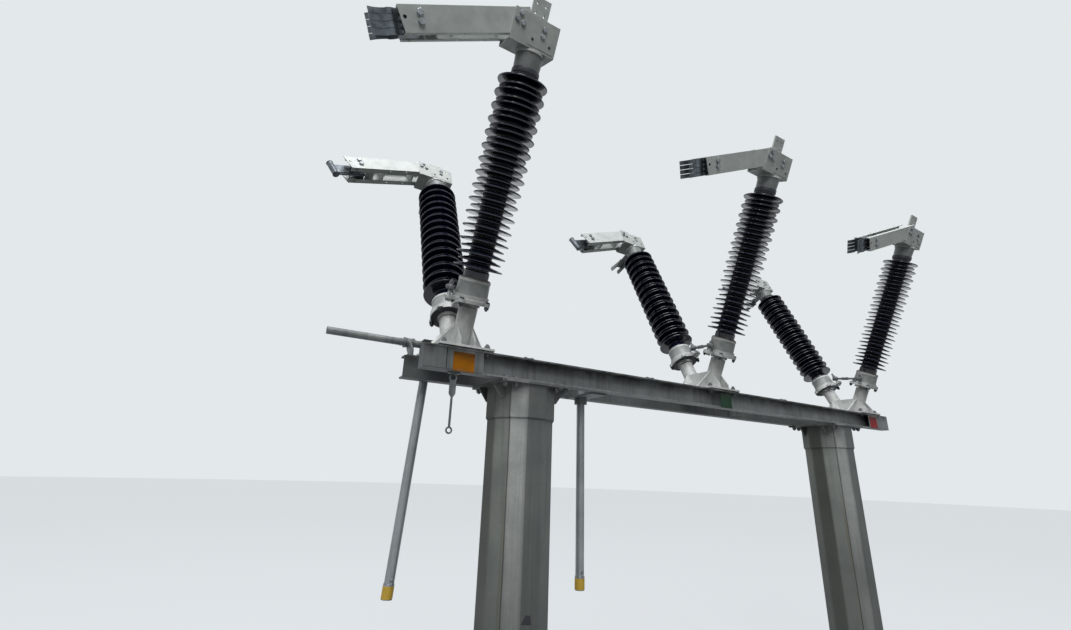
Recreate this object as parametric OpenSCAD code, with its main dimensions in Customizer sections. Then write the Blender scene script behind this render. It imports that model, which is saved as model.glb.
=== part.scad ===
// Three-pole high-voltage disconnector with V-shaped posts, drawn in the open position.
// Millimetres, Z up. The origin is the centre of the left pillar's foot, on the ground.
// X runs along the beams, the front posts lean to -Y and the rear posts to +Y.

/* [Layout] */
// Distance from one pole to the next
pole_pitch = 2000; // [1800:50:2400]
// Distance between the two pillars
pillar_gap = 3130; // [2800:10:3400]
// Lean of every post from the vertical
vee_tilt = 25; // [20:1:28]
// Height of the top of the beams above the ground
beam_top = 2250; // [1900:50:3000]
// How far below the beam top the two post axes of a pole cross
axis_drop = 97; // [60:1:140]

/* [Beams] */
// Depth of each channel beam
beam_h = 126; // [100:1:160]
// Width of the beam flanges
beam_flange = 68; // [50:1:80]
// Thickness of the beam web
beam_web = 6; // [4:0.5:10]
// Thickness of the beam flanges
beam_lip = 9; // [6:0.5:12]
// Distance from the centre line to the outer edge of a beam
beam_out = 210; // [190:1:240]
// Length of beam beyond the outer poles
beam_over = 235; // [160:5:400]
// Length of the cover that closes each end of the front beam
cover_l = 325; // [200:5:400]
// Thickness of that cover
cover_t = 6; // [3:0.5:8]

/* [Pillars] */
// Width of the twelve-sided pillar across its corners
pillar_d = 384; // [300:2:420]
// Wall of the pillar
pillar_wall = 8; // [5:1:12]
// Height of the sleeve round the pillar's head
sleeve_h = 180; // [120:5:260]
// Length of the head plate along the beams
head_plate_l = 450; // [420:10:820]
// Diameter of the foot flange
foot_d = 620; // [520:10:760]
// Thickness of the foot flange
foot_t = 24; // [16:1:36]
// Pitch circle of the anchor holes
anchor_pcd = 510; // [460:10:640]
// Diameter of the anchor holes
anchor_hole = 28; // [20:1:34]

/* [Bases] */
// Length of a base plate along the beams
base_l = 310; // [260:5:360]
// Width of a base plate across the beams
base_w = 400; // [340:5:420]
// Thickness of a base plate
base_t = 12; // [8:1:20]
// Thickness of the packers under a base plate
packer_t = 10; // [4:1:16]
// Outside diameter of a bearing tube
tube_d = 104; // [88:1:120]
// Top of a bearing tube, measured along the post axis
tube_top = 378; // [360:1:390]
// Thickness of the base's ribs and webs
rib_t = 10; // [6:1:16]

/* [Turntables] */
// Diameter of the bearing shaft
shaft_d = 60; // [50:1:70]
// Radial running clearance of shafts and tubes in their bearings
shaft_clear = 0.05; // [0.03:0.01:0.1]
// Top of the turntable flange along the post axis
flange_top = 420; // [410:1:430]
// Diameter of the collar under the turntable flange
collar_d = 118; // [100:1:140]
// Diameter of the turntable flange
flange_d = 205; // [190:1:230]
// Thickness of the turntable flange
flange_t = 18; // [12:1:24]
// Radius of the crank pins
crank_r = 126; // [110:1:140]
// Angle of the rear crank from the +X side towards the other post
rear_crank = 84; // [70:1:95]
// Angle of the front crank, counted in the same way
front_crank = 183; // [180:1:200]

/* [Insulators] */
// Lower end of the porcelain along the post axis
porcelain_low = 533; // [520:1:540]
// Height of the lowest large shed along the post axis
shed_low = 598; // [590:1:610]
// Distance between large sheds
shed_pitch = 71; // [65:1:76]
// Number of large sheds
shed_count = 15; // [12:1:16]
// Diameter of the large sheds
shed_d = 272; // [240:2:290]
// Diameter of the small sheds between them
small_shed_d = 238; // [200:2:250]
// Diameter of the porcelain core
core_d = 126; // [110:2:140]

/* [Heads] */
// Underside of the head box along the post axis
head_low = 1747; // [1735:1:1770]
// Height of the head box
head_h = 160; // [140:1:180]
// Reach of the head box on the arm's side
head_arm_side = 153; // [130:1:170]
// Reach of the head box on the other side
head_back_side = 106; // [95:1:120]
// Thickness of the head's sheet
head_t = 6; // [4:0.5:8]
// Width of a terminal pad
pad_w = 100; // [90:5:120]
// Height of a terminal pad above the head box
pad_h = 130; // [110:5:160]
// Thickness of a terminal pad
pad_t = 12; // [8:1:20]
// Spacing of the four holes in a terminal pad
pad_hole_gap = 50; // [40:1:60]
// Diameter of those holes
pad_hole = 14; // [11:1:18]

/* [Arms] */
// Point of the post axis that the arm's centre line starts from
arm_s = 1908; // [1890:1:1920]
// Overall width of the two arm channels
arm_w = 130; // [110:2:140]
// Depth of an arm channel
arm_h = 118; // [100:2:130]
// Thickness of the arm's sheet
arm_t = 5; // [4:0.5:8]
// Width of the arm channels' flanges
arm_lip = 32; // [24:1:40]
// Distance from the post axis to the arm channels' inner end
arm_in = 62; // [55:1:80]
// Distance from the post axis to the arm channels' outer end
arm_out = 727; // [700:1:760]
// Slant of the outer end, from the middle to the upper corner
arm_slant = 9; // [0:1:25]

/* [Contacts] */
// Diameter of the upright contact bar
bar_d = 42; // [36:1:50]
// Clearance of the jaw at each side of the bar
jaw_clear = 1.5; // [1:0.5:3]
// Number of fingers in each row of a jaw
finger_count = 4; // [3:1:5]
// Height of one finger
finger_h = 26; // [20:1:28]
// Gap between fingers
finger_gap = 3; // [2:0.5:5]
// Thickness of a finger
finger_t = 5; // [3:0.5:8]

/* [Earthing gear] */
// Diameter of the earthing shaft
drive_d = 42; // [34:1:60]
// Diameter of the two drive tubes
drive_tube_d = 50; // [40:1:60]
// Distance of the earthing shaft behind the centre line
earth_y = 262; // [245:1:300]
// Height of the earthing shaft above the beam top
earth_z = 100; // [80:1:130]
// Length of earthing shaft beyond the left-hand pole
earth_over = 640; // [400:10:900]
// Height of the lower ends of the drive tubes
drive_low = 1015; // [600:5:1200]
// Lean of the left drive tube from the vertical
drive_lean = 3.6; // [0:0.1:6]

/* [Hidden] */
$fn = 64;
POLES = [0, 1, 2];
SIDES = ["front", "rear"];
// A pole's distance along the beams from the left pillar
middle_x = pillar_gap / 2;
function pole_x(p) = middle_x + (p - 1) * pole_pitch;
beam_x0 = pole_x(0) - beam_over;
beam_len = 2 * pole_pitch + 2 * beam_over;
beam_low = beam_top - beam_h;
web_in = beam_out - beam_flange;
cross_z = beam_top - axis_drop;
// Diameter of the link's ball joints, and how high their centres sit on a post
ball_d = 40;
ball_s = flange_top + 44;
plate_low = beam_top + packer_t;
plate_top = plate_low + base_t;
// Where a post axis meets the top of the base plate
plate_s = (plate_top - cross_z) / cos(vee_tilt);
head_top = head_low + head_h;
cheek_in = arm_w / 2;
cheek_out = cheek_in + head_t;
cap_low = head_low - 115;
shed_top = shed_low + (shed_count - 1) * shed_pitch;
arm_reach = arm_s * sin(vee_tilt);
contact_r = arm_reach + 10;
jaw_half = bar_d / 2 + jaw_clear;
finger_row_h = finger_count * finger_h + (finger_count - 1) * finger_gap;
earth_x0 = pole_x(0) - earth_over;
earth_x1 = pole_x(2) + 250;
main_drive_x = middle_x - 0.55 * pole_pitch;
main_drive_y = 54;
earth_drive_x = pole_x(0) - 65;
steel_white = [0.80, 0.81, 0.80];
steel_grey = [0.58, 0.60, 0.60];
zinc = [0.52, 0.54, 0.54];
glaze = [0.06, 0.07, 0.12];
bare_metal = [0.42, 0.44, 0.46];

// A frame on a post: its Z is the post axis and its Y points to the other post of the pole.
module post_frame(pole, rear) {
    translate([pole_x(pole), 0, cross_z])
        if (rear) mirror([0, 1, 0]) rotate([vee_tilt, 0, 0]) children();
        else rotate([vee_tilt, 0, 0]) children();
}

// A frame on an arm: X runs out along the arm, Y is the same as the post's.
module arm_frame() {
    translate([0, 0, arm_s]) rotate([0, -vee_tilt, 0]) mirror([1, 0, 0]) children();
}

// A plate drawn in X and Z that stands in the XZ plane, centred on Y = 0.
module upright_plate(t) {
    rotate([90, 0, 0]) linear_extrude(t, center = true) children();
}

// A plate drawn in Y and Z that stands in the YZ plane, centred on X = 0.
module cross_plate(t) {
    rotate([90, 0, 90]) linear_extrude(t, center = true) children();
}

// A channel along X, open towards +Y, its web's back at Y = 0.
module channel(len, h, flange, web, lip) {
    cube([len, web, h]);
    cube([len, flange, lip]);
    translate([0, 0, h - lip]) cube([len, flange, lip]);
}

// One pillar: foot flange, ribs, twelve-sided tube, sleeve, head plate and gussets.
module pillar(x) {
    head_plate_t = 12;
    tube_top_z = beam_low - head_plate_t;
    // How far the four gussets under the head plate reach down, and where they stand
    gusset_z = 80;
    gusset_y = 100;
    gusset_in = 150;
    color(steel_grey) translate([x, 0, 0]) {
        difference() {
            union() {
                cylinder(d = foot_d, h = foot_t);
                for (k = [0:7]) rotate([0, 0, 45 * k])
                    upright_plate(10)
                        polygon([[pillar_d / 2 - 20, foot_t - 1], [foot_d / 2 - 12, foot_t - 1],
                                 [foot_d / 2 - 12, foot_t + 12], [pillar_d / 2 - 4, foot_t + 150],
                                 [pillar_d / 2 - 20, foot_t + 150]]);
                rotate([0, 0, 15]) cylinder(d = pillar_d, h = tube_top_z, $fn = 12);
                translate([0, 0, tube_top_z - sleeve_h])
                    rotate([0, 0, 15]) cylinder(d = pillar_d + 18, h = sleeve_h, $fn = 12);
                translate([-head_plate_l / 2, -beam_out, tube_top_z])
                    cube([head_plate_l, 2 * beam_out, head_plate_t]);
                for (sx = [-1, 1], sy = [-1, 1])
                    translate([0, sy * gusset_y, tube_top_z]) upright_plate(12)
                        polygon([[sx * gusset_in, 0.5], [sx * (head_plate_l / 2 - 2), 0.5],
                                 [sx * (head_plate_l / 2 - 2), -14],
                                 [sx * (gusset_in + 26), -gusset_z], [sx * gusset_in, -gusset_z]]);
            }
            translate([0, 0, foot_t]) rotate([0, 0, 15])
                cylinder(d = pillar_d - 2 * pillar_wall, h = tube_top_z - foot_t, $fn = 12);
            for (k = [0:7]) rotate([0, 0, 45 * k + 22.5]) translate([anchor_pcd / 2, 0, -1])
                cylinder(d = anchor_hole, h = foot_t + 2);
        }
    }
}

// A beam of one channel, web inwards, flanges outwards. An end plate and covers in two pieces,
// with a narrow slit between them, close the front beam's ends.
module beam(rear) {
    end_cover = 120;
    color(zinc) translate([beam_x0, 0, beam_low])
        if (rear) translate([0, web_in, 0])
            channel(beam_len, beam_h, beam_flange, beam_web, beam_lip);
        else mirror([0, 1, 0]) translate([0, web_in, 0]) {
            channel(beam_len, beam_h, beam_flange, beam_web, beam_lip);
            for (end = [0, beam_len]) translate([end, beam_flange - cover_t, beam_lip - 1])
                mirror([end > 0 ? 1 : 0, 0, 0]) {
                    translate([0, beam_web + cover_t - beam_flange - 1, 0])
                        cube([cover_t, beam_flange - beam_web + 1, beam_h - 2 * beam_lip + 2]);
                    cube([end_cover, cover_t, beam_h - 2 * beam_lip + 2]);
                    translate([end_cover + 4, 0, 0])
                        cube([cover_l - end_cover - 4, cover_t, beam_h - 2 * beam_lip + 2]);
                }
        }
}

// Cross plates that tie the two beams together between their webs.
module beam_ties() {
    color(zinc) for (x = [pole_x(0) + 0.24 * pole_pitch, middle_x + 0.22 * pole_pitch])
        translate([x - 5, -web_in, beam_low + 10]) cube([10, 2 * web_in, beam_h - 20]);
}

// One base: packers, plate, two leaning bearing tubes, side gussets and the web between.
module base(p) {
    // Top of the side gussets on the post axis, and top and half length of the webs' upper edge
    gusset_top = 275;
    web_top = 155;
    web_y = (web_top + axis_drop) * tan(vee_tilt);
    color(steel_white) {
        for (sx = [-1, 1], sy = [-1, 1])
            translate([pole_x(p) + sx * (base_l / 2 - 32) - 28,
                       sy * (base_w / 2 - 32) - 28, beam_top])
                cube([56, 56, packer_t]);
        translate([pole_x(p) - base_l / 2, -base_w / 2, plate_low])
            cube([base_l, base_w, base_t]);
        difference() {
            union() {
                for (rear = [false, true]) post_frame(p, rear) {
                    translate([0, 0, plate_s - 60]) cylinder(d = tube_d, h = tube_top - plate_s + 60);
                    upright_plate(rib_t)
                        polygon([[-base_l / 2 + 6, plate_s - 20], [base_l / 2 - 6, plate_s - 20],
                                 [base_l / 2 - 6, plate_s + 12], [tube_d / 2 - 2, gusset_top],
                                 [-tube_d / 2 + 2, gusset_top], [-base_l / 2 + 6, plate_s + 12]]);
                }
                for (sx = [-1, 1]) translate([pole_x(p) + sx * (tube_d / 2 - rib_t), 0, beam_top])
                    cross_plate(rib_t)
                        polygon([[-base_w / 2 + 8, 10], [base_w / 2 - 8, 10], [base_w / 2 - 8, 48],
                                 [web_y, web_top], [-web_y, web_top], [-base_w / 2 + 8, 48]]);
            }
            translate([pole_x(p) - 250, -300, plate_top - 400]) cube([500, 600, 400 - 1]);
            for (rear = [false, true]) post_frame(p, rear)
                translate([0, 0, 230]) cylinder(d = shaft_d + 2 * shaft_clear, h = 200);
        }
    }
}

// Outline of a turntable flange: a disc, four bolt ears and the crank lug.
module flange_outline(crank) {
    circle(d = flange_d);
    for (k = [0:3]) rotate(45 + 90 * k) translate([96, 0]) circle(d = 44);
    rotate(crank) {
        translate([60, -26]) square([crank_r - 60, 52]);
        translate([crank_r, 0]) circle(d = 60);
    }
}

// One turntable: shaft, collar, flange with its crank, lower metal cap and crank pin.
module turntable(p, rear) {
    crank = rear ? rear_crank : front_crank;
    stud_top = ball_s - ball_d / 2 - 0.3;
    flange_low = flange_top - flange_t;
    color(steel_white) post_frame(p, rear) {
        translate([0, 0, 236]) cylinder(d = shaft_d, h = flange_low - 230);
        translate([0, 0, tube_top + 6]) cylinder(d = collar_d, h = flange_low - tube_top - 5);
        translate([0, 0, flange_low]) linear_extrude(flange_t) flange_outline(crank);
        translate(pin_at(crank, flange_low - 14)) cylinder(d = 30, h = 16);
        translate(pin_at(crank, flange_top - 2)) cylinder(d = 20, h = stud_top - flange_top + 2);
        translate([0, 0, flange_top - 1]) cylinder(d = 196, h = 24);
        translate([0, 0, flange_top + 22]) cylinder(d1 = 180, d2 = 170, h = porcelain_low - flange_top - 22);
    }
}

// Half outline of one shed, as points of radius and height.
function shed_outline(z, r) = [
    [core_d / 2, z - 13], [r - 22, z - 7], [r - 3, z - 6], [r, z - 3],
    [r, z + 1], [r - 3, z + 4], [core_d / 2, z + 20]];

// The whole half outline of a post insulator.
function porcelain_outline() = concat(
    [[0, porcelain_low], [70, porcelain_low], [70, shed_low - 20], [core_d / 2, shed_low - 14]],
    [for (k = [0:shed_count - 1]) each concat(
        shed_outline(shed_low + k * shed_pitch, shed_d / 2),
        k < shed_count - 1
            ? shed_outline(shed_low + (k + 0.5) * shed_pitch, small_shed_d / 2) : [])],
    [[core_d / 2, cap_low], [0, cap_low]]);

// One post insulator of dark glazed porcelain.
module insulator(p, rear) {
    color(glaze) post_frame(p, rear) rotate_extrude() polygon(porcelain_outline());
}

// One head: upper metal cap, open box of sheet and the terminal pad.
module head(p, rear) {
    color(steel_white) post_frame(p, rear) {
        translate([0, 0, cap_low]) cylinder(d = 146, h = 24);
        translate([0, 0, cap_low + 24]) cylinder(d1 = 140, d2 = 150, h = head_low - cap_low - 24);
        translate([-head_arm_side, -cheek_out, head_low])
            cube([head_arm_side + head_back_side, 2 * cheek_out, head_t]);
        for (sy = [-1, 1]) translate([-head_arm_side, sy > 0 ? cheek_in : -cheek_out, head_low])
            cube([head_arm_side + head_back_side, head_t, head_h]);
        translate([-40, -cheek_in, head_top - 2 * head_t])
            cube([head_back_side + 40, 2 * cheek_in, head_t]);
        difference() {
            translate([-pad_w / 2, -pad_t / 2, head_top - 2 * head_t])
                cube([pad_w, pad_t, pad_h + 2 * head_t]);
            for (sx = [-1, 1], sz = [-1, 1])
                translate([sx * pad_hole_gap / 2, 0, head_top + pad_h / 2 + 8 + sz * pad_hole_gap / 2])
                    rotate([90, 0, 0]) cylinder(d = pad_hole, h = 40, center = true);
        }
    }
    if (rear) color(bare_metal) post_frame(p, rear) earthing_contact();
}

// The fixed earthing contact: a bracket under the head with two flat fingers.
module earthing_contact() {
    finger_h = 36;
    translate([-46, -230, head_low - 8]) cube([92, 180, 8]);
    // Each finger: its place across, where its tip is and how high its root and its tip sit
    for (f = [[-30, -311, 6, 37], [22, -296, -20, -8]])
        translate([f[0], 0, head_low - finger_h / 2]) cross_plate(12)
            polygon([[-150, f[2]], [-178, f[2]], [f[1], f[3]], [f[1], f[3] + finger_h - 8],
                     [f[1] + 8, f[3] + finger_h], [-178, f[2] + finger_h], [-150, f[2] + finger_h]]);
}

// One arm: two channels back to back with spacers between them. The rear arms' flanges all stop
// short of the web's tip, where the closed jaw's fingers reach in.
module arm(p, rear) {
    web_in_arm = arm_w / 2 - arm_t;
    // How far out the hole near each channel's tip and the holes in the lower flanges are
    tip_hole_r = 708;
    lip_hole_r = [110, 300, 430, 680];
    color(steel_white) post_frame(p, rear) arm_frame() {
        for (sy = [-1, 1]) {
            translate([0, sy * (arm_w / 2 - arm_t / 2), 0]) upright_plate(arm_t) difference() {
                polygon([[arm_in, -arm_h / 2], [arm_out - arm_slant, -arm_h / 2],
                         [arm_out + arm_slant, arm_h / 2], [arm_in, arm_h / 2]]);
                translate([tip_hole_r, 8]) circle(d = 18);
            }
            for (upper = [false, true]) difference() {
                translate([arm_in, sy > 0 ? arm_w / 2 - arm_lip : -arm_w / 2,
                           upper ? arm_h / 2 - arm_t : -arm_h / 2])
                    cube([(upper && !rear ? arm_out + arm_slant - 2 : arm_out - arm_slant) - arm_in,
                          arm_lip, arm_t]);
                if (!upper) for (r = lip_hole_r)
                    translate([r, sy * (arm_w / 2 - arm_lip / 2), -arm_h / 2 - 1])
                        cylinder(d = 14, h = arm_t + 2);
            }
        }
        for (r = [215, 455]) translate([r, -web_in_arm, -40]) cube([6, 2 * web_in_arm, 80]);
        translate([532, -web_in_arm, -34]) cube([60, 2 * web_in_arm, 8]);
    }
}

// Path of a finger's middle line, as points of reach along the arm and distance from its centre.
// The closed bar stands at grip_r, where the two rows are narrowest.
grip_r = 2 * arm_reach - contact_r;
finger_path = [[642, 22.5], [736, 22.5], [758, 32], [774, 33], [grip_r - 10, jaw_half + 2.5],
               [grip_r + 12, jaw_half + 2.5], [grip_r + 40, jaw_half + 8],
               [grip_r + 66, jaw_half + 20]];

// One jaw: a block between the arm channels and two rows of springy fingers.
module jaw(p) {
    n = len(finger_path);
    color(bare_metal) post_frame(p, false) arm_frame() {
        translate([640, -20, -finger_row_h / 2]) cube([100, 40, finger_row_h]);
        translate([600, -arm_w / 2 + arm_t, -30]) cube([60, arm_w - 2 * arm_t, 60]);
        for (sy = [-1, 1], k = [0:finger_count - 1])
            translate([0, 0, -finger_row_h / 2 + k * (finger_h + finger_gap)])
                linear_extrude(finger_h) polygon(concat(
                    [for (q = finger_path) [q[0], sy * (q[1] - finger_t / 2)]],
                    [for (i = [n - 1:-1:0])
                        [finger_path[i][0], sy * (finger_path[i][1] + finger_t / 2)]]));
    }
}

// One plug: a block between the arm channels, a flat blade and an upright bar.
module plug(p) {
    color(bare_metal) post_frame(p, true) arm_frame() {
        translate([600, -arm_w / 2 + arm_t, -30]) cube([60, arm_w - 2 * arm_t, 60]);
        translate([655, -7, -38]) cube([contact_r - 655, 14, 76]);
        translate([contact_r, 0, -58]) cylinder(d = bar_d, h = 116);
    }
}

// Place of a crank pin in the post's frame.
function pin_at(angle, s) = [crank_r * cos(angle), crank_r * sin(angle), s];
// The same point in the pole's frame, where Y runs across the beams.
function in_pole(v, side) = [v[0], side * (v[1] * cos(vee_tilt) - v[2] * sin(vee_tilt)),
                             v[1] * sin(vee_tilt) + v[2] * cos(vee_tilt)];

// One half of a cross link: its ball, the threaded stud and nut over it and its share of the rod.
// The rear half also carries the turnbuckle's sleeve. The two halves are in line at both ends of
// the travel. Between them they part sideways, so a narrow split keeps their ends clear.
link_rod = 18;
link_split = 12;
link_sleeve = 26;
link_sleeve_l = 44;
module link_half(p, rear) {
    near = in_pole(pin_at(rear ? rear_crank : front_crank, ball_s), rear ? -1 : 1);
    far = in_pole(pin_at(rear ? front_crank : rear_crank, ball_s), rear ? 1 : -1);
    v = far - near;
    half = (norm(v) - link_split) / 2;
    color(bare_metal) {
        translate([pole_x(p), 0, cross_z] + near) {
            sphere(d = ball_d);
            rotate([0, acos(v[2] / norm(v)), atan2(v[1], v[0])]) {
                cylinder(d = link_rod, h = half);
                if (rear) translate([0, 0, half - link_sleeve_l])
                    cylinder(d = link_sleeve, h = link_sleeve_l);
            }
        }
        post_frame(p, rear) translate(pin_at(rear ? rear_crank : front_crank, ball_s)) {
            cylinder(d = 16, h = rear ? 58 : 40);
            translate([0, 0, ball_d / 2 - 4]) cylinder(d = 28, h = 14, $fn = 6);
        }
    }
}

// Brackets on the rear beam that carry the earthing shaft.
long_gap = 0.31 * pole_pitch;
bracket_x = [pole_x(0) - base_l / 2 - 35, pole_x(0) + long_gap, middle_x - 0.15 * pole_pitch,
             middle_x + long_gap, pole_x(2) - long_gap, pole_x(2) + 0.1 * pole_pitch];
module shaft_brackets() {
    color(zinc) for (x = bracket_x) difference() {
        union() {
            translate([x - 30, web_in + 6, beam_top]) cube([60, beam_flange - 6, 8]);
            translate([x, 0, beam_top]) cross_plate(10)
                polygon([[web_in + 10, 2], [beam_out, 2], [earth_y + 20, earth_z - 30],
                         [earth_y, earth_z + 27], [earth_y - 27, earth_z + 4], [web_in + 10, 40]]);
            translate([x - 14, earth_y, beam_top + earth_z]) rotate([0, 90, 0])
                cylinder(d = drive_d + 14, h = 28);
        }
        translate([x - 30, earth_y, beam_top + earth_z]) rotate([0, 90, 0])
            cylinder(d = drive_d + 2 * shaft_clear, h = 60);
    }
}

// The earthing shaft along the rear beam, a tube with a 4 mm wall.
module earthing_shaft() {
    color(zinc) translate([earth_x0, earth_y, beam_top + earth_z]) rotate([0, 90, 0]) difference() {
        cylinder(d = drive_d, h = earth_x1 - earth_x0);
        translate([0, 0, -1]) cylinder(d = drive_d - 8, h = earth_x1 - earth_x0 + 2);
    }
}

// One drive tube with the coupling at its lower end.
module drive_tube(top) {
    difference() {
        union() {
            cylinder(d = drive_tube_d, h = top);
            cylinder(d = drive_tube_d + 6, h = 70);
        }
        translate([0, 0, -1]) cylinder(d = drive_tube_d - 8, h = 60);
    }
}

// The upright tube that works the main contacts, between the two beams.
main_tube_len = beam_low + 60 - drive_low;
module main_drive_tube() {
    color(steel_grey) translate([main_drive_x, main_drive_y, drive_low]) drive_tube(main_tube_len);
}

// The slightly leaning tube that works the earthing shaft, behind the rear beam.
earth_drive_top = beam_top + earth_z - drive_d / 2 - 12;
module earthing_drive_tube() {
    len = (earth_drive_top - drive_low) / cos(drive_lean);
    color(steel_grey) translate([earth_drive_x, earth_y, earth_drive_top])
        rotate([0, drive_lean, 0]) translate([0, 0, -len]) drive_tube(len);
}

// Bearings that hold the upper ends of the two drive tubes: a cross plate with a hub under the
// beams, and a gear box on the rear beam's flange edges where the left tube meets the shaft.
module drive_bearings() {
    box_low = beam_top + 18;
    box_h = earth_z + drive_d / 2 + 6 - 18;
    box_y = beam_out + 6;
    box_w = earth_y + drive_d / 2 + 10 - box_y;
    color(zinc) {
        difference() {
            union() {
                translate([main_drive_x - 60, -web_in, beam_low - 10]) cube([120, 2 * web_in, 10]);
                translate([main_drive_x, main_drive_y, beam_low - 50])
                    cylinder(d = drive_tube_d + 30, h = 55);
            }
            translate([main_drive_x, main_drive_y, beam_low - 60])
                cylinder(d = drive_tube_d + 2 * shaft_clear, h = 100);
        }
        difference() {
            union() {
                translate([earth_drive_x - 48, box_y, box_low]) cube([96, box_w, box_h]);
                translate([earth_drive_x - 70, beam_out, beam_low + 3])
                    cube([140, 8, beam_h + 60]);
            }
            translate([earth_drive_x - 80, earth_y, beam_top + earth_z]) rotate([0, 90, 0])
                cylinder(d = drive_d + 2 * shaft_clear, h = 160);
            translate([earth_drive_x, earth_y, earth_drive_top]) rotate([0, drive_lean, 0])
                translate([0, 0, -120]) cylinder(d = drive_tube_d + 2 * shaft_clear, h = 126);
        }
    }
}

// The eye rod that hangs under the front beam, between its left end and the pillar's head plate:
// a seat plate, a shackle ring, a flat bar that narrows to a rod and the eye at its lower end.
module hanging_eye() {
    x = beam_x0 + 0.4 * (-head_plate_l / 2 - beam_x0);
    y = -beam_out + beam_flange / 2;
    ring_r = 18;
    ring_z = -8 - ring_r;
    eye_z = -290;
    color(zinc) translate([x, y, beam_low]) {
        translate([-30, -15, -8]) cube([60, 30, 8]);
        translate([0, 0, ring_z]) rotate([90, 0, 0]) rotate_extrude() translate([ring_r, 0]) circle(d = 9);
        translate([0, 0, ring_z - ring_r]) upright_plate(8)
            polygon([[-15, 3], [15, 3], [17, -8], [17, -64], [8, -80], [-8, -80], [-17, -64], [-17, -8]]);
        translate([0, 0, eye_z + 10]) cylinder(d = 12, h = ring_z - ring_r - 70 - eye_z - 10);
        translate([0, 0, eye_z]) rotate([90, 0, 0]) rotate_extrude() translate([14, 0]) circle(d = 9);
    }
}

pillar(0);  // left_pillar
pillar(pillar_gap);  // right_pillar
beam(false);  // front_beam
beam(true);  // rear_beam
beam_ties();
for (p = POLES) {
    base(p);
    for (s = SIDES) {
        turntable(p, s == "rear");
        insulator(p, s == "rear");
        head(p, s == "rear");
        arm(p, s == "rear");
    }
    jaw(p);
    plug(p);
    link_half(p, true);
    link_half(p, false);
}
shaft_brackets();
earthing_shaft();
main_drive_tube();
earthing_drive_tube();
drive_bearings();
hanging_eye();
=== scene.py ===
# %% [markdown]
# # A three-pole disconnector, dressed for a studio picture
# The steel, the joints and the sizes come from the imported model. This script adds what a
# photographer would see on it: glaze, weathered zinc, paint, welds, bolts and springs.
# The scene is in metres, in the model's own frame: X along the beams, -Y to the front posts.

# %% Load the model
import math
import random

import bmesh
import bpy
from mathutils import Matrix, Vector


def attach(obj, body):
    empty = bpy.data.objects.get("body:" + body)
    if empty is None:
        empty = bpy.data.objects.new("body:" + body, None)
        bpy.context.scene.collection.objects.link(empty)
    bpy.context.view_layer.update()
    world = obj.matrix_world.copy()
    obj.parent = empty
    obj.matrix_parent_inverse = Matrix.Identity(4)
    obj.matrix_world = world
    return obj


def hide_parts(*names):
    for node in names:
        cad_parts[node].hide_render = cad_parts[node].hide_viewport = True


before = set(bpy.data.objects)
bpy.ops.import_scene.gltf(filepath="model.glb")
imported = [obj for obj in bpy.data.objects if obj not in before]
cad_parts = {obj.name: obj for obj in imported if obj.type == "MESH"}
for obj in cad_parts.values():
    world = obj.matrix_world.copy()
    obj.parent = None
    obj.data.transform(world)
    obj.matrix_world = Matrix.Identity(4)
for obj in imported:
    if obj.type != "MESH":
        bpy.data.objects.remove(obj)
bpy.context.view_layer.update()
MM = 0.001

# %% [markdown]
# The camera was found by fitting two of the poles, the level beams and the left pillar to the
# photo. The posts' lean, the distance between the poles and the eye's height were assumed. It stands
# low and close at the left end, looks up by 18 degrees and is tipped a little to one side.
# A camera matrix is built from its own three directions, which is clearer than Euler angles here.

# %% Set the camera
PHOTO_W = 1071
PHOTO_H = 630
FOCAL_PX = 481.5
MIDDLE_PX = (542.0, 314.5)
EYE = Vector((-1.3457, -2.5049, 1.6480))
YAW = math.radians(30.4)
PITCH = math.radians(18.2)
ROLL = math.radians(1.84)

look = Vector((math.sin(YAW) * math.cos(PITCH), math.cos(YAW) * math.cos(PITCH), math.sin(PITCH)))
level = Vector((math.cos(YAW), -math.sin(YAW), 0))
above = level.cross(look)
right = level * math.cos(ROLL) + above * math.sin(ROLL)
top = above * math.cos(ROLL) - level * math.sin(ROLL)
camera = bpy.data.objects.new("camera", bpy.data.cameras.new("camera"))
bpy.context.scene.collection.objects.link(camera)
camera.matrix_world = Matrix.Translation(EYE) @ Matrix((right, top, -look)).transposed().to_4x4()
camera.data.sensor_width = 36
camera.data.lens = FOCAL_PX / PHOTO_W * camera.data.sensor_width
camera.data.shift_x = (PHOTO_W / 2 - MIDDLE_PX[0]) / PHOTO_W
camera.data.shift_y = (MIDDLE_PX[1] - PHOTO_H / 2) / PHOTO_W
camera.data.clip_start = 0.05
bpy.context.scene.camera = camera
print("camera", [round(v, 2) for v in EYE], "lens", round(camera.data.lens, 2), "mm")

# %% [markdown]
# These are the sizes that the added pieces have to meet, in millimetres. They repeat the model's
# own driving sizes. A pole has two posts that lean apart, so each post gets a frame of its own:
# Z is the post's axis and Y points to the other post of the pole.

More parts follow.
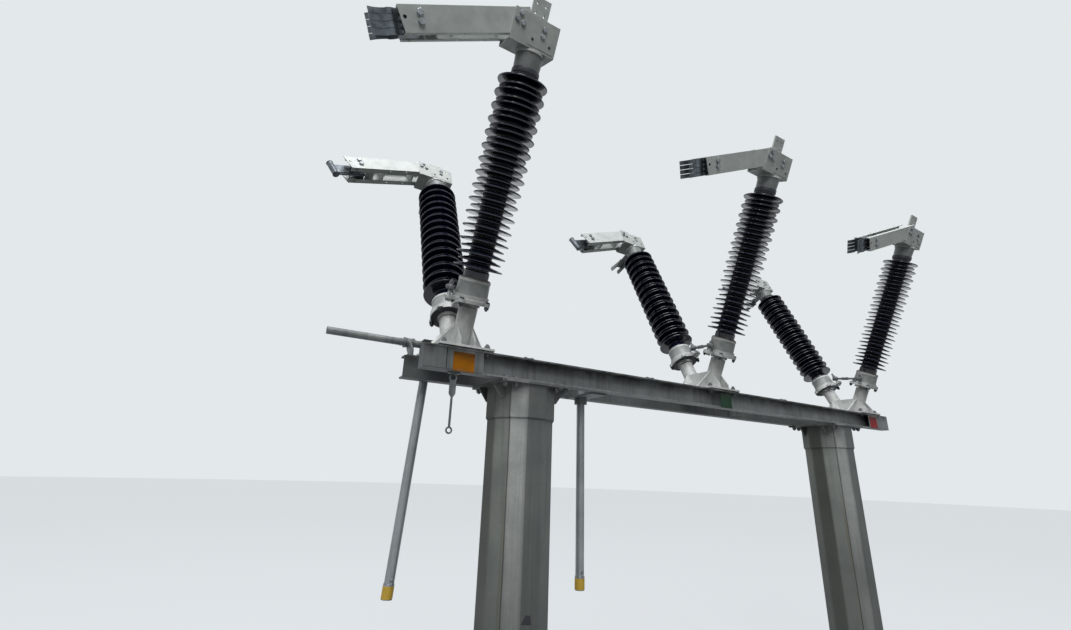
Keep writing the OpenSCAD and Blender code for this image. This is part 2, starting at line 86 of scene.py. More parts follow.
# %% Name the sizes and the places
TILT = math.radians(25)
POLE_PITCH = 2000
PILLAR_GAP = 3130
BEAM_TOP = 2250
BEAM_LOW = 2124
BEAM_OUT = 210
CROSS_Z = BEAM_TOP - 97
PLATE_TOP = BEAM_TOP + 22
TUBE_D = 104
COLLAR_R = 59
FLANGE_TOP = 420
FLANGE_T = 18
PORCELAIN_LOW = 533
SHED_LOW = 598
SHED_PITCH = 71
SHED_COUNT = 15
SHED_R = 136
SMALL_SHED_R = 119
CORE_R = 63
CAP_LOW = 1632
HEAD_LOW = 1747
HEAD_H = 160
CHEEK_OUT = 71
HEAD_ARM_SIDE = 153
HEAD_BACK_SIDE = 106
ARM_S = 1908
ARM_W = 130
CRANK_R = 126
REAR_CRANK = math.radians(84)
FRONT_CRANK = math.radians(183)
BALL_S = FLANGE_TOP + 44
CONTACT_R = ARM_S * math.sin(TILT) + 10
EARTH_Y = 262
EARTH_Z = BEAM_TOP + 100
PILLAR_R = 192
POLES = (0, 1, 2)
SIDES = ("front", "rear")


def pole_x(pole):
    return PILLAR_GAP / 2 + (pole - 1) * POLE_PITCH


def post_frame(pole, side):
    """Frame of a post, in metres. The rear one is the front one's mirror image."""
    sign = 1 if side == "front" else -1
    x = Vector((1, 0, 0))
    y = Vector((0, sign * math.cos(TILT), math.sin(TILT)))
    z = Vector((0, -sign * math.sin(TILT), math.cos(TILT)))
    turn = Matrix((x, y, z)).transposed().to_4x4()
    return Matrix.Translation((pole_x(pole) * MM, 0, CROSS_Z * MM)) @ turn


def arm_frame(pole, side):
    """Frame of an arm: X runs out along it, Y is the post's and Z is square to both."""
    slope = Matrix.Rotation(-TILT, 4, "Y") @ Matrix.Diagonal((-1, 1, 1, 1))
    return post_frame(pole, side) @ Matrix.Translation((0, 0, ARM_S * MM)) @ slope


print("poles at x =", [pole_x(p) for p in POLES], "mm")

# %% [markdown]
# ## Finishes
# Each finish starts from what the real surface is. One function turns the hex colours of a paint
# chart into Blender's linear numbers, and one function adds a node with its settings and links.

# %% Helpers for finishes


def linear(hex_text):
    """An sRGB colour such as "#8f9190" as linear red, green, blue and alpha."""
    parts = [int(hex_text[i:i + 2], 16) / 255 for i in (1, 3, 5)]
    return tuple(p / 12.92 if p <= 0.04045 else ((p + 0.055) / 1.055) ** 2.4 for p in parts) + (1.0,)


def add(tree, kind, inputs=None, **settings):
    """Adds a node. inputs maps a socket's name or number to a value or to another node's output."""
    made = tree.nodes.new(kind)
    for name, value in settings.items():
        setattr(made, name, value)
    for socket, value in (inputs or {}).items():
        if isinstance(value, bpy.types.NodeSocket):
            tree.links.new(value, made.inputs[socket])
        else:
            made.inputs[socket].default_value = value
    return made


IOR = 1.5


def finish(name, metallic, roughness):
    """A new material with its shader's constants set on the shader itself."""
    made = bpy.data.materials.new(name)
    made.use_nodes = True
    tree = made.node_tree
    shader = tree.nodes["Principled BSDF"]
    shader.inputs["Metallic"].default_value = metallic
    shader.inputs["Roughness"].default_value = roughness
    shader.inputs["IOR"].default_value = IOR
    return made, tree, shader


def cloud(tree, size_mm, detail=4.0, stretch=(1, 1, 1), seed=0.0):
    """Soft noise whose blotches are about size_mm across, drawn out along an axis by stretch."""
    place = add(tree, "ShaderNodeTexCoord").outputs["Object"]
    scaled = add(tree, "ShaderNodeMapping", {
        "Vector": place, "Location": (seed, seed * 1.7, -seed),
        "Scale": tuple(1 / (size_mm * MM * s) for s in stretch)})
    noise = add(tree, "ShaderNodeTexNoise", {"Vector": scaled.outputs[0], "Scale": 1.0, "Detail": detail})
    return noise.outputs["Fac"]


def ramp(tree, factor, stops):
    """A colour ramp. stops are (position, hex colour) or (position, grey level)."""
    made = add(tree, "ShaderNodeValToRGB", {"Fac": factor})
    points = made.color_ramp.elements
    while len(points) < len(stops):
        points.new(0.5)
    for point, (position, colour) in zip(points, stops):
        point.position = position
        point.color = linear(colour) if isinstance(colour, str) else (colour, colour, colour, 1)
    return made.outputs["Color"]


def mix(tree, factor, first, second, blend="MIX"):
    """Blends two colours; each is a socket or a hex colour."""
    made = add(tree, "ShaderNodeMix", {"Factor": factor}, data_type="RGBA", blend_type=blend)
    for socket, value in ((made.inputs[6], first), (made.inputs[7], second)):
        if isinstance(value, str):
            socket.default_value = linear(value)
        else:
            tree.links.new(value, socket)
    return made.outputs[2]


def math_node(tree, operation, first, second=0.0, clamp=False):
    return add(tree, "ShaderNodeMath", {0: first, 1: second}, operation=operation, use_clamp=clamp).outputs[0]


def times(tree, first, second, clamp=False):
    return math_node(tree, "MULTIPLY", first, second, clamp)


def place_axis(tree, axis):
    """One coordinate of the surface in the model's frame, in metres."""
    place = add(tree, "ShaderNodeTexCoord").outputs["Object"]
    return add(tree, "ShaderNodeSeparateXYZ", {0: place}).outputs[axis]


def between(tree, value, low, high, start=0.0, end=1.0):
    """Runs from start, where value is low, to end, where it is high."""
    made = add(tree, "ShaderNodeMapRange", {
        "Value": value, "From Min": low, "From Max": high, "To Min": start, "To Max": end})
    return made.outputs[0]


def along_post(tree):
    """How far along its post's axis a surface lies, in millimetres. Front and rear are alike."""
    aside = math_node(tree, "ABSOLUTE", place_axis(tree, 1))
    lifted = math_node(tree, "SUBTRACT", place_axis(tree, 2), CROSS_Z * MM)
    share = times(tree, lifted, math.cos(TILT) / MM)
    return math_node(tree, "ADD", share, times(tree, aside, math.sin(TILT) / MM))


def soften(tree, shader, height, strength, depth_mm, edge_mm=1.5):
    """Bump from a height, over edges that the light finds rounded."""
    edge = add(tree, "ShaderNodeBevel", {"Radius": edge_mm * MM}, samples=4)
    bump = add(tree, "ShaderNodeBump", {
        "Height": height, "Strength": strength, "Distance": depth_mm * MM, "Normal": edge.outputs[0]})
    tree.links.new(bump.outputs[0], shader.inputs["Normal"])


print("helpers ready")

# %% [markdown]
# ** Hot-dip zinc.** Steel is dipped in molten zinc, which sets in flat crystals, the spangle, some
# 10 to 20 mm across. After years outdoors it is dull blue-grey with carbonate bloom, and rain
# draws dirt down from every edge. So the colour is spangle and cloud, crossed by streaks that are
# drawn out along Z. The beams' outer faces are darkest just under their top flange, with dirt and
# painted shade from the flange, and the rear beam is darkened with painted shade, as if the front
# one shaded it.

# %% Zinc for beams, pillars and tubes


def zinc(name, dark, mid, light, streak_dark, roughness):
    """Weathered zinc: cells for the spangle, clouds for bloom and long upright streaks for dirt."""
    made, tree, shader = finish(name, 0.35, roughness)
    place = add(tree, "ShaderNodeTexCoord").outputs["Object"]
    cells = add(tree, "ShaderNodeTexVoronoi", {"Vector": place, "Scale": 1 / (16 * MM)})
    spangle = add(tree, "ShaderNodeSeparateColor", {0: cells.outputs["Color"]}).outputs[0]
    bloom = ramp(tree, cloud(tree, 230, 6), [(0.30, dark), (0.50, mid), (0.72, light)])
    sparkle = ramp(tree, spangle, [(0.0, 0.44), (1.0, 0.56)])
    body = mix(tree, 0.35, bloom, sparkle, "OVERLAY")
    streaks = ramp(tree, cloud(tree, 26, 5, (1, 1, 26), 3.1), [(0.50, 0.0), (0.74, 1.0)])
    fine = ramp(tree, cloud(tree, 9, 3, (1, 1, 40), 7.7), [(0.55, 0.0), (0.80, 0.6)])
    dirt = math_node(tree, "MAXIMUM", streaks, fine, True)
    colour = mix(tree, times(tree, dirt, 0.55), body, streak_dark)
    grain = cloud(tree, 5, 6)
    soften(tree, shader, grain, 0.25, 0.6)
    rough = between(tree, bloom, 0.05, 0.6, roughness + 0.1, roughness - 0.08)
    tree.links.new(rough, shader.inputs["Roughness"])
    return made, tree, shader, colour


def join_colour(tree, shader, colour):
    tree.links.new(colour, shader.inputs["Base Color"])


beam_zinc, tree, shader, colour = zinc("hot_dip_zinc_beam", "#666a6a", "#797d7d", "#8c9090", "#3f4344", 0.55)
height = place_axis(tree, 2)
# Dirt and painted shade: a dark band on the faces just under the beams' top flange.
under_flange = between(tree, height, (BEAM_TOP - 70) * MM, (BEAM_TOP - 12) * MM)
on_cover = between(tree, place_axis(tree, 0), -0.340, -0.350)
band_edge = ramp(tree, cloud(tree, 90, 5, (1, 1, 2), 1.3), [(0.40, 0.35), (0.64, 1.0)])
dirt_and_shade_band = times(tree, under_flange, band_edge, True)
colour = mix(tree, times(tree, on_cover, 0.45), colour, "#45494a")
# Painted shade: from 0.10 m behind the middle, the rear beam and what stands behind it are darkened as if in
# the front beam's shadow.
rear_beam_painted_shade = between(tree, place_axis(tree, 1), 0.10, 0.14)
colour = mix(tree, times(tree, rear_beam_painted_shade, 0.6), colour, "#3c4041")
join_colour(tree, shader, mix(tree, times(tree, dirt_and_shade_band, 0.92), colour, "#171917"))

drive_zinc, tree, shader, colour = zinc("galvanised_tube", "#7d8386", "#8f9598", "#a1a6a8", "#5f6567", 0.42)
join_colour(tree, shader, colour)

fitting_zinc, tree, shader, colour = zinc(
    "galvanised_fitting", "#54585a", "#6e7273", "#888c8c", "#34383a", 0.45)
join_colour(tree, shader, colour)
print("zinc finishes made")

# %% [markdown]
# ** The pillar's zinc** is the same, but the plate is folded into twelve flats and welded up along
# two corners. The zinc is tinted by the surface's angle round the pillar's own axis as painted light
# and shade: one flat is painted pale as if lit, and the flats away from it darker as if in shade.
# It also darkens towards the ground, and in cloudy patches up towards the sleeve. A dark line
# follows the seam and the next fold, with olive runs beside the seam. These lines are drawn at the
# corner's angle, so they stay there whatever the camera does.

# %% Zinc for the pillars
pillar_zinc, tree, shader, colour = zinc(
    "hot_dip_zinc_pillar", "#979c9c", "#a9adac", "#b8bbb9", "#7b7f7d", 0.58)
across = place_axis(tree, 0)
second_pillar = math_node(tree, "GREATER_THAN", across, PILLAR_GAP / 2 * MM)
from_axis = math_node(tree, "SUBTRACT", across, times(tree, second_pillar, PILLAR_GAP * MM))
angle = math_node(tree, "ARCTAN2", place_axis(tree, 1), from_axis)
drift = math_node(tree, "SUBTRACT", cloud(tree, 90, 2, (1, 1, 2), 5.0), 0.5)
bearing = math_node(tree, "ADD", angle, times(tree, drift, 0.03))
SEAM_DEG = 225
FOLD_DEG = 255
GROUND_REACH = (1.95, 0.9)
ALGAE_REACH = (1.75, 1.35)
DARKENING_REACH = (1.86, 2.09)


def corner_line(tree, corner_deg, half_width):
    """1 on a thin upright line at that angle round the pillar, fading out over half_width radians."""
    off = math_node(tree, "ABSOLUTE", math_node(tree, "SUBTRACT", bearing, math.radians(corner_deg - 360)))
    return math_node(tree, "SUBTRACT", 1.0, math_node(tree, "DIVIDE", off, half_width), True)


# Painted light and shade by the share of a turn, counted from the side that faces -X by way of the front: a
# pale flat as if lit and darker flats as if in shade.
PAINTED_LIGHT_BY_SIDE = (
    (0.0, "#6f7167"), (0.035, "#73756c"), (0.050, "#bdbfba"), (0.118, "#c4c6c2"), (0.134, "#f0f0ee"),
    (0.19, "#f2f2f0"), (0.215, "#999c9b"), (0.285, "#999c9b"), (0.30, "#adb0af"), (0.60, "#b5b8b6"),
    (0.94, "#a2a59e"), (0.97, "#6f7167"))
round_about = between(tree, bearing, -math.pi, math.pi)
colour = mix(tree, 1.0, colour, ramp(tree, round_about, PAINTED_LIGHT_BY_SIDE), "MULTIPLY")
height = place_axis(tree, 2)
darkened = times(tree, between(tree, height, *GROUND_REACH), 0.62)
colour = mix(tree, darkened, colour, "#4b4e4b")
low_down = between(tree, height, *ALGAE_REACH)
seam = corner_line(tree, SEAM_DEG, 0.028)
fold = corner_line(tree, FOLD_DEG, 0.018)
algae = times(tree, corner_line(tree, SEAM_DEG - 3.5, 0.045), low_down)
runs = ramp(tree, cloud(tree, 30, 4, (1, 1, 12), 9.0), [(0.35, 0.0), (0.6, 1.0)])
algae = times(tree, algae, runs)
colour = mix(tree, times(tree, algae, 0.75, True), colour, "#5f5c3b")
colour = mix(tree, times(tree, seam, 0.95, True), colour, "#2b2b22")
colour = mix(tree, times(tree, fold, 0.8, True), colour, "#3d413f")
# Darker in cloudy patches from just below the sleeve upwards.
near_sleeve = between(tree, height, *DARKENING_REACH)
darkening_towards_sleeve = times(tree, near_sleeve, cloud(tree, 55, 5, seed=2.0), True)
join_colour(tree, shader, mix(tree, darkening_towards_sleeve, colour, "#4a4c4a"))
print("pillar zinc made")

# %% [markdown]
# **Glazed porcelain.** The body is pressed clay, fired under a glaze of dark oxide, nearly black
# with a blue cast. The glaze is glass: IOR 1.5, almost mirror smooth, with a very slight ripple.
# Dust settles on the tops of the sheds and turns them a little greyer and duller; that grey is partly a
# painted sheen.

# %% Porcelain
porcelain, tree, shader = finish("blue_black_glazed_porcelain", 0.0, 0.13)
normal = add(tree, "ShaderNodeNewGeometry").outputs["Normal"]
facing = add(tree, "ShaderNodeSeparateXYZ", {0: normal}).outputs[2]
# The grey on the sheds' upward faces is dust and, in part, a painted sheen.
dust_and_sheen_patch = ramp(tree, cloud(tree, 40, 5, seed=4.0), [(0.35, 0.25), (0.7, 1.0)])
dust_and_sheen = times(tree, between(tree, facing, 0.45, 0.95), dust_and_sheen_patch, True)
glaze = ramp(tree, cloud(tree, 120, 3), [(0.3, "#070d20"), (0.7, "#0d1630")])
join_colour(tree, shader, mix(tree, times(tree, dust_and_sheen, 0.30), glaze, "#4c545d"))
tree.links.new(between(tree, dust_and_sheen, 0, 1, 0.12, 0.38), shader.inputs["Roughness"])
ripple = add(tree, "ShaderNodeBump", {"Height": cloud(tree, 14, 2), "Strength": 0.05, "Distance": 0.5 * MM})
tree.links.new(ripple.outputs[0], shader.inputs["Normal"])

cement, tree, shader = finish("portland_cement_joint", 0.0, 0.9)
join_colour(tree, shader, ramp(tree, cloud(tree, 7, 5), [(0.3, "#77756d"), (0.7, "#a19f96")]))
soften(tree, shader, cloud(tree, 3, 5), 0.7, 0.8)
print("porcelain and cement made")

# %% [markdown]
# **Paint over steel.** The bases and heads are sprayed with alkyd enamel, which dries satin with a
# faint orange peel a few millimetres across. Soot and rain leave cloudy grey films and thin runs.
# The bases are nearly white; the arms and head boxes are a pale grey-green. The cast caps at both
# ends of the porcelain are left grey, so two of the paints change over along the post's axis. The
# plates that mark the phases darken towards the beam's top flange, with soot and painted shade.

# %% Enamel paints


def enamel(name, worn, fresh, film, roughness, film_share, cast=None):
    """Satin paint with a film of dirt in clouds and runs. cast names the reach along the post's axis
    over which bare grey castings show in place of the paint."""
    made, tree, shader = finish(name, 0.0, roughness)
    body = ramp(tree, cloud(tree, 160, 5, seed=1.0), [(0.35, worn), (0.65, fresh)])
    if cast:
        reach = along_post(tree)
        above = math_node(tree, "GREATER_THAN", reach, cast[0])
        inside = times(tree, above, math_node(tree, "LESS_THAN", reach, cast[1]))
        grey = ramp(tree, cloud(tree, 45, 6, seed=12.0), [(0.35, cast[2]), (0.65, cast[3])])
        body = mix(tree, inside, body, grey)
    clouds = ramp(tree, cloud(tree, 70, 6, seed=6.0), [(0.45, 0.0), (0.75, 1.0)])
    runs = ramp(tree, cloud(tree, 8, 4, (1, 1, 22), 2.4), [(0.55, 0.0), (0.78, 1.0)])
    dirt = times(tree, math_node(tree, "MAXIMUM", clouds, runs), film_share, True)
    join_colour(tree, shader, mix(tree, dirt, body, film))
    peel = math_node(tree, "ADD", cloud(tree, 4, 2, seed=8.0), times(tree, clouds, 0.5))
    soften(tree, shader, peel, 0.18, 0.12, 1.2)
    tree.links.new(between(tree, dirt, 0, 1, roughness, roughness + 0.3), shader.inputs["Roughness"])
    return made


base_enamel = enamel("pale_grey_enamel_base", "#cdd1d0", "#dadddc", "#777d7b", 0.42, 0.50)
LOWER_CAST = (443, 600, "#8e9393", "#a5aaa9")
UPPER_CAST = (1600, 1746, "#737878", "#858a8a")
HEAD_COAT = ("#aeb4b2", "#bbc1be", "#6c7674", 0.40, 0.35)
turntable_enamel = enamel(
    "enamel_and_cast_cap_turntable", "#c2c7c6", "#d0d4d3", "#6f7573", 0.42, 0.55, LOWER_CAST)
head_enamel = enamel("grey_green_enamel_head", *HEAD_COAT)
head_and_cap = enamel("enamel_and_cast_cap_head", *HEAD_COAT, UPPER_CAST)
arm_enamel = enamel("pale_grey_green_enamel_arm", "#c3cac8", "#d0d6d4", "#7c8684", 0.40, 0.30)
# Black for the bitumen and the packers, and for the painted shade ring under each flange.
dark_ring = enamel("bitumen_and_painted_shade", "#14181d", "#1b2026", "#2c3136", 0.5, 0.5)
phase_yellow = enamel("yellow_phase_enamel", "#a36406", "#ad6c05", "#6b4511", 0.5, 0.4)
phase_green = enamel("green_phase_enamel", "#1e3a2c", "#234633", "#222a26", 0.5, 0.4)
phase_red = enamel("red_phase_enamel", "#8e2227", "#a3262b", "#4a2a2a", 0.5, 0.4)
for made in (phase_yellow, phase_green, phase_red):
    tree = made.node_tree
    shader = tree.nodes["Principled BSDF"]
    below = shader.inputs["Base Color"].links[0].from_socket
    # Soot and painted shade: each phase plate darkens up towards the beam's top flange.
    rise = between(tree, place_axis(tree, 2), (BEAM_TOP - 95) * MM, (BEAM_TOP - 20) * MM)
    patchy = math_node(tree, "ADD", cloud(tree, 30, 3, (3, 1, 1), 6.0), 0.35)
    soot_and_shade = times(tree, rise, patchy, True)
    join_colour(tree, shader, mix(tree, times(tree, soot_and_shade, 0.97), below, "#140c03"))
    shader.inputs["Specular IOR Level"].default_value = 0.15
yellow_tape = enamel("yellow_marking_tape", "#c8a436", "#d9b545", "#8a7a45", 0.55, 0.35)
black_mark = enamel("black_marking_paint", "#15181b", "#1d2024", "#33373a", 0.6, 0.4)
print("enamels made")

# %% [markdown]
# **Contact metal and bolts.** Fingers and blades are copper, hot-tinned against corrosion: a soft
# grey metal, satin, with rolled lines a millimetre or so apart. Bolts are zinc-plated steel,
# brighter than the dipped parts when new and dull with white rust later.

# %% Metals for contacts and fasteners


def bare_metal(name, dark, light, roughness, line_mm):
    """A metal with faint rolling lines and blotches of tarnish."""
    made, tree, shader = finish(name, 0.85, roughness)
    tarnish = cloud(tree, 35, 5, seed=3.0)
    lines = cloud(tree, line_mm, 3, (40, 1, 1), 2.0)
    worn = math_node(tree, "ADD", times(tree, tarnish, 0.8), times(tree, lines, 0.2))
    body = ramp(tree, worn, [(0.35, dark), (0.65, light)])
    join_colour(tree, shader, body)
    soften(tree, shader, lines, 0.15, 0.2, 0.8)
    rough = between(tree, tarnish, 0, 1, roughness + 0.12, roughness - 0.08)
    tree.links.new(rough, shader.inputs["Roughness"])
    return made


tinned_copper = bare_metal("tinned_copper_contact", "#454a50", "#6c7277", 0.42, 1.5)
bolt_zinc = bare_metal("zinc_plated_bolt", "#6b6f73", "#9a9ea1", 0.40, 1.0)
dark_bolt = bare_metal("oiled_black_bolt", "#2b2f33", "#474c51", 0.45, 1.0)
spring_steel = bare_metal("spring_steel_wire", "#7d8286", "#b2b6b9", 0.30, 0.8)
print("metals made")

# %% [markdown]
# Every solid of the model gets its finish by name. A node's object sits at the origin, so the
# finishes that use object coordinates all share one frame and run on from node to node.

# %% Dress the model's own solids
FINISH_OF = [
    ("pillar", pillar_zinc), ("beam", beam_zinc), ("base", base_enamel), ("turntable", turntable_enamel),
    ("insulator", porcelain), ("head", head_and_cap), ("arm", arm_enamel), ("jaw", tinned_copper),
    ("plug", tinned_copper), ("cross_link", fitting_zinc), ("shaft_brackets", fitting_zinc),
    ("earthing_shaft", fitting_zinc), ("drive_tube", drive_zinc), ("drive_bearings", beam_zinc),
    ("hanging_eye", fitting_zinc)]
for name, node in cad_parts.items():
    chosen = [made for key, made in FINISH_OF if key in name][0]
    for number in range(len(node.material_slots)):
        node.material_slots[number].material = chosen
    print(name, "wears", chosen.name)

# %% [markdown]
# ## Pieces
# Everything below is built in mesh code, in millimetres, in the frame of the thing that carries
# it. Three small builders do most of the work: a turned solid, a straight prism and a bar that
# follows a path. The rear posts are mirror images, so faces are turned back where a frame mirrors.

# %% Builders for meshes
random.seed(7)
HERE = Matrix.Identity(4)


def circle(radius, height, steps):
    """Points of a ring about the Z axis, with the first one again at the end."""
    angles = [math.tau * k / steps for k in range(steps + 1)]
    return [(radius * math.cos(a), radius * math.sin(a), height) for a in angles]


def turned(work, profile, steps=32, at=HERE):
    """Adds a turned solid. profile holds (radius, height), from the axis outwards and back, or closed."""
    rings = []
    for radius, height in profile:
        spots = circle(radius, height, steps)[:steps if radius else 1]
        rings.append([work.verts.new(at @ Vector(spot)) for spot in spots])
    if profile[0] == profile[-1]:
        rings[-1] = rings[0]
    for low, high in zip(rings, rings[1:]):
        for k in range(steps):
            after = (k + 1) % steps
            corners = (low[k % len(low)], low[after % len(low)], high[after % len(high)], high[k % len(high)])
            corners = list(dict.fromkeys(corners))
            if len(corners) > 2:
                work.faces.new(corners)


def prism(work, outline, low, high, at=HERE):
    """Adds a straight prism over an outline that runs counter-clockwise."""
    under = [work.verts.new(at @ Vector((x, y, low))) for x, y in outline]
    over = [work.verts.new(at @ Vector((x, y, high))) for x, y in outline]
    work.faces.new(list(reversed(under)))
    work.faces.new(over)
    for k in range(len(outline)):
        work.faces.new((under[k - 1], under[k], over[k], over[k - 1]))


def block(x0, x1, y0, y1):
    """Outline of a rectangle for prism."""
    return [(x0, y0), (x1, y0), (x1, y1), (x0, y1)]


def bar(work, path, radius, steps=8, wobble=0.0, at=HERE):
    """Adds a round bar along a path. wobble varies its radius, as on a weld bead."""
    points = [Vector(p) for p in path]
    rings = []
    side = None
    for k, point in enumerate(points):
        along = (points[min(k + 1, len(points) - 1)] - points[max(k - 1, 0)]).normalized()
        if side is None:
            side = along.orthogonal().normalized()
        side = (side - along * side.dot(along)).normalized()
        other = along.cross(side)
        size = radius * (1 + wobble * random.uniform(-1, 1))
        ring = []
        for j in range(steps):
            angle = math.tau * j / steps
            outwards = side * math.cos(angle) + other * math.sin(angle)
            ring.append(work.verts.new(at @ (point + size * outwards)))
        rings.append(ring)
    for low, high in zip(rings, rings[1:]):
        for j in range(steps):
            work.faces.new((low[j - 1], low[j], high[j], high[j - 1]))
    work.faces.new(list(reversed(rings[0])))
    work.faces.new(rings[-1])


def straight(start, end, step):
    """Points from start to end, about step apart."""
    start, end = Vector(start), Vector(end)
    count = max(1, round((end - start).length / step))
    return [start.lerp(end, k / count) for k in range(count + 1)]


def bead(work, path, radius, wobble=0.2, at=HERE):
    """Adds a weld bead along a path: a six-sided bar whose radius wanders a little."""
    bar(work, path, radius, 6, wobble, at)


def coil(work, start, end, radius, wire, turns):
    """Adds a coil spring between two points, with an even pitch along its length."""
    start, end = Vector(start), Vector(end)
    along = (end - start).normalized()
    side = along.orthogonal().normalized()
    other = along.cross(side)
    count = turns * 12
    path = []
    for k in range(count + 1):
        angle = math.tau * turns * k / count
        path.append(start.lerp(end, k / count) + radius * (side * math.cos(angle) + other * math.sin(angle)))
    bar(work, path, wire / 2, 6)


def aim(point, direction):
    """A frame at point whose Z runs along direction."""
    turn = Vector(direction).to_track_quat("Z", "Y").to_matrix().to_4x4()
    return Matrix.Translation(Vector(point)) @ turn


def bolt(work, at, across, height=None, stud=0.0):
    """Adds a washer and a hexagon at a surface. at's Z points out of it, and stud is how far a
    thread stands out."""
    corner = across / math.sqrt(3)
    rim = across * 0.62
    top_z = 3 + (height or across * 0.62)
    turned(work, [(0, -0.5), (rim, -0.5), (across * 0.64, 0.6), (rim, 2.6), (0, 3)], 20, at)
    hexagon = [(0, 2.5), (corner, 2.5), (corner, top_z - across * 0.07), (corner * 0.86, top_z), (0, top_z)]
    turned(work, hexagon, 6, at @ Matrix.Rotation(random.uniform(0, 1), 4, "Z"))
    if stud:
        pitch = across * 0.09
        low, high = top_z - 1, top_z + stud - 1
        thread = [(across * (0.34 if k % 2 else 0.29), low + k * pitch) for k in range(int(stud / pitch))]
        turned(work, [(0, low)] + thread + [(across * 0.24, high), (0, high)], 12, at)


def finish_piece(name, work, place, made, body, bevel=0.0):
    """Turns millimetre work into a dressed piece, in place and riding on its body."""
    if bevel:
        sharp = [e for e in work.edges if e.is_manifold and e.calc_face_angle(0) > 0.6]
        bmesh.ops.bevel(work, geom=sharp, offset=bevel, segments=2, affect="EDGES", clamp_overlap=True)
    bmesh.ops.scale(work, vec=(MM, MM, MM), verts=work.verts)
    bmesh.ops.transform(work, matrix=place, verts=work.verts)
    if place.determinant() < 0:
        bmesh.ops.reverse_faces(work, faces=work.faces)
    for face in work.faces:
        face.smooth = True
    mesh = bpy.data.meshes.new(name)
    work.to_mesh(mesh)
    work.free()
    mesh.set_sharp_from_angle(angle=math.radians(35))
    mesh.materials.append(made)
    piece = bpy.data.objects.new(name, mesh)
    bpy.context.scene.collection.objects.link(piece)
    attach(piece, body)
    return piece


def each_post():
    """Pole, side, body and number text of the six posts."""
    return [(pole, side, f"{side}_post_{pole + 1}", f"{side}_{pole + 1}") for pole in POLES for side in SIDES]


print("builders ready")

# %% [markdown]
# **Insulators.** A post insulator is turned on a lathe from one extruded clay blank. Each shed has a
# thin drooping rim, a drip edge under it and a fillet into the core above and below. Large and
# small sheds take turns so that rain bridges fewer of them. These replace the plain CAD solids.

# %% Porcelain posts


def shed(z, r):
    """Half outline of one shed whose rim is at radius r, from its underside to its top."""
    return [
        (CORE_R, z - 14), (CORE_R + 1, z - 12.5), (CORE_R + 4, z - 11), (CORE_R + 9, z - 10),
        (r - 24, z - 8.5), (r - 14, z - 8), (r - 7, z - 8.6), (r - 2.5, z - 8), (r, z - 4.5),
        (r - 0.6, z - 1.5), (r - 4, z + 1), (r - 20, z + 4.5), (CORE_R + 22, z + 10),
        (CORE_R + 7, z + 13), (CORE_R + 2.5, z + 16), (CORE_R + 0.5, z + 19), (CORE_R, z + 21)]


outline = [
    (0, PORCELAIN_LOW), (CORE_R + 4, PORCELAIN_LOW), (CORE_R + 7, PORCELAIN_LOW + 3), (CORE_R + 7, 572),
    (CORE_R + 5.5, 577), (CORE_R + 1, 580.5), (CORE_R, 582)]
for number in range(SHED_COUNT):
    outline += shed(SHED_LOW + number * SHED_PITCH, SHED_R)
    if number < SHED_COUNT - 1:
        outline += shed(SHED_LOW + (number + 0.5) * SHED_PITCH, SMALL_SHED_R)
outline += [(CORE_R, CAP_LOW - 6), (CORE_R, CAP_LOW), (0, CAP_LOW)]
for pole, side, body, tag in each_post():
    work = bmesh.new()
    turned(work, outline, 64)
    piece = finish_piece(f"porcelain_{tag}", work, post_frame(pole, side), porcelain, body)
    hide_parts(f"{side}_insulator_{pole + 1}")
print("sheds a post:", 2 * SHED_COUNT - 1)

# %% [markdown]
# ** Caps.** Cast caps grip the porcelain's ends in Portland cement. A collar of bitumen paint keeps
# water out of the upper joint. The lower cap has a cast rim, and a thin dark ring under the flange
# is painted shade and dirt.

# %% Caps, cement and rings
CEMENT_RING = [(69.5, 530), (83, 530), (82.5, 535), (78, 537.5), (71, 539.5), (69.5, 539.5), (69.5, 530)]
JOINT_FILLET = [(62.5, 1617), (67, 1619), (69, 1624), (70, 1633), (62.5, 1633), (62.5, 1617)]
BITUMEN_COLLAR = [(72, 1631), (74, 1631), (74.8, 1633), (74.8, 1655), (73.8, 1657), (72, 1657), (72, 1631)]
# Painted shade and dirt: the thin dark ring under each turntable flange.
FLANGE_SHADE_RING = [(58, 402.5), (58, 401.3), (99, 401.3), (99, 402.5), (58, 402.5)]
LOWER_RIM = [(84, 514), (86.5, 514), (88, 516), (88, 528), (86.5, 530.5), (84, 530.5), (84, 514)]
UPPER_RIM = [(73, 1733), (78, 1733), (79.5, 1735), (79.5, 1745), (78, 1747), (73, 1747), (73, 1733)]
for pole, side, body, tag in each_post():
    place = post_frame(pole, side)
    work = bmesh.new()
    turned(work, CEMENT_RING, 48)
    finish_piece(f"cement_{tag}", work, place, cement, body)
    work = bmesh.new()
    turned(work, JOINT_FILLET, 48)
    turned(work, BITUMEN_COLLAR, 64)
    turned(work, FLANGE_SHADE_RING, 48)
    finish_piece(f"dark_rings_{tag}", work, place, dark_ring, body)
    work = bmesh.new()
    turned(work, LOWER_RIM, 64)
    turned(work, UPPER_RIM, 64)
    finish_piece(f"cap_rims_{tag}", work, place, base_enamel, body, 0.8)
print("caps dressed")

# %% [markdown]
# **Turntables.** Four bolts a post hold the flange to the collar below it. Their nuts hang under
# the ears, where the camera looks from below. The bolts are dark against the pale paint. The one
# that the cross link sweeps over has a sunk head.

